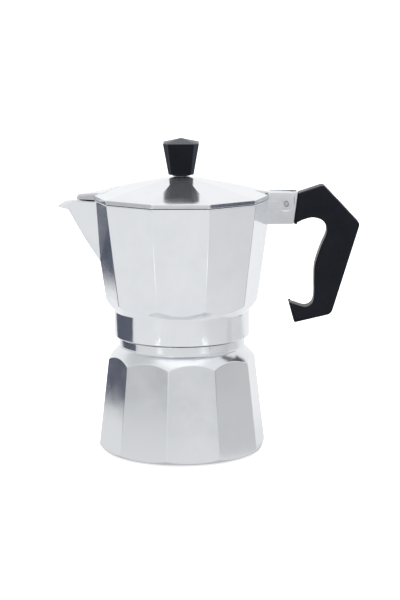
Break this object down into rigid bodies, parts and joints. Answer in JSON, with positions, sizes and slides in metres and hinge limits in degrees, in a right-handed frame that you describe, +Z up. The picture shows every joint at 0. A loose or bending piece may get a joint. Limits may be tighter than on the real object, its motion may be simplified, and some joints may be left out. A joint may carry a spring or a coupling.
{
  "type": "moka pot",
  "caption": "Ten-sided stovetop moka pot: screw-on upper pot with spout, hinged lid with knob, black hook handle, boiler, funnel, filter and safety valve.",
  "frame": {"origin": "centre of the boiler's flat foot, on the surface it stands on", "axes": "+Z up along the pot's axis, +X towards the handle and lid hinge, -X towards the spout, +Y towards the safety valve's side"},
  "size_m": [0.1528, 0.0883, 0.16],
  "materials": {
    "cast_aluminium": "satin polished casting with crisp facets",
    "pressed_aluminium": "plain pressed sheet",
    "steel": "bright zinc-plated",
    "brass": "turned",
    "red_fibre": "matte vulcanised fibre",
    "black_plastic": "satin moulded thermoset",
    "seal_rubber": "matte white silicone"
  },
  "bodies": {
    "boiler": {"boiler": "cast_aluminium", "valve_body": "brass", "valve_washer": "red_fibre", "valve_spring": "steel", "valve_cap": "brass"},
    "valve": {"valve_plunger": "brass"},
    "funnel": {"funnel_cup": "pressed_aluminium", "funnel_tube": "pressed_aluminium", "basket_screen": "pressed_aluminium"},
    "gasket": {"gasket": "seal_rubber"},
    "filter_plate": {"filter_plate": "pressed_aluminium"},
    "collector": {"collector": "cast_aluminium", "column": "pressed_aluminium", "column_cap": "pressed_aluminium", "hinge_pin": "steel", "handle": "black_plastic", "handle_screw": "steel", "handle_washer": "steel"},
    "lid": {"lid": "cast_aluminium", "lid_knob": "black_plastic", "knob_screw": "steel", "knob_washer": "steel"}
  },
  "joints": [
    {"name": "valve_lift", "type": "slide", "parent": "boiler", "child": "valve", "axis": [-0.1383, 0.9842, 0.1102], "range_m": [0, 0.0012], "stiffness_N_per_m": 2000, "springref_m": -0.0025, "deforming": ["valve_spring"]},
    {"name": "funnel_lift", "type": "slide", "parent": "boiler", "child": "funnel", "axis": [0, 0, 1], "range_m": [0, 0.065]},
    {"name": "collector_lift", "type": "slide", "parent": "funnel", "child": "gasket", "axis": [0, 0, 1], "range_m": [0, 0.06]},
    {"name": "unscrew_lift", "type": "slide", "parent": "gasket", "child": "filter_plate", "axis": [0, 0, 1], "range_m": [0, 0.0061]},
    {"name": "unscrew_turn", "type": "hinge", "parent": "filter_plate", "child": "collector", "pos_m": [0, 0, 0.0632], "axis": [0, 0, 1], "range_deg": [0, 720]},
    {"name": "lid_hinge", "type": "hinge", "parent": "collector", "child": "lid", "pos_m": [0.0529, 0, 0.127], "axis": [0, 1, 0], "range_deg": [0, 95]}
  ],
  "couplings": [
    {"joint": "unscrew_lift", "follows": "unscrew_turn", "m_per_rad": 0.00047746}
  ]
}
